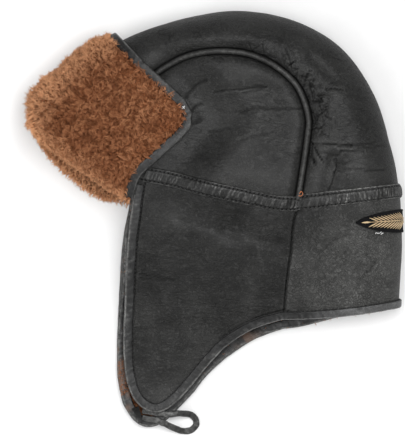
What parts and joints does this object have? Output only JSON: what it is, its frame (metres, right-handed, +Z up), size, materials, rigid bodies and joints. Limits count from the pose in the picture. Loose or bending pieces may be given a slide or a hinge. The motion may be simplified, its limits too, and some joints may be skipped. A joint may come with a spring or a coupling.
{
  "type": "flight cap",
  "caption": "Soft leather flight cap lined with sheepskin, with a turned-up fleece front flap and long ear flaps, lying on its side.",
  "frame": {"origin": "a point of the flat stretch of the right ear flap that the cap lies on, at the surface", "axes": "+X to the back of the head, +Y to the top of the crown, +Z up, away from the surface"},
  "size_m": [0.2969, 0.3305, 0.0762],
  "materials": {
    "leather": "semi-matt grained charcoal black",
    "piping": "smooth worn black",
    "binding": "smooth black with worn grey ridges",
    "lining": "short curly sheepskin pile",
    "pile": "deep clumped reddish brown sheepskin pile",
    "embroidery": "gold thread leaves on black felt"
  },
  "bodies": {
    "root": {"crown_centre_panel": "leather", "crown_side_left": "leather", "crown_side_right": "leather", "welt_left": "piping", "welt_right": "piping", "crown_band": "leather", "ear_flap_left": "leather", "ear_flap_right": "leather", "neck_panel": "leather", "fleece_centre": "lining", "fleece_side_left": "lining", "fleece_side_right": "lining", "fleece_ear_left": "lining", "fleece_ear_right": "lining", "fleece_neck": "lining", "hem_binding": "binding", "front_flap_leather": "leather", "front_flap_fleece": "pile", "front_flap_binding": "binding", "thong_loop": "binding", "back_patch": "embroidery"}
  },
  "joints": []
}
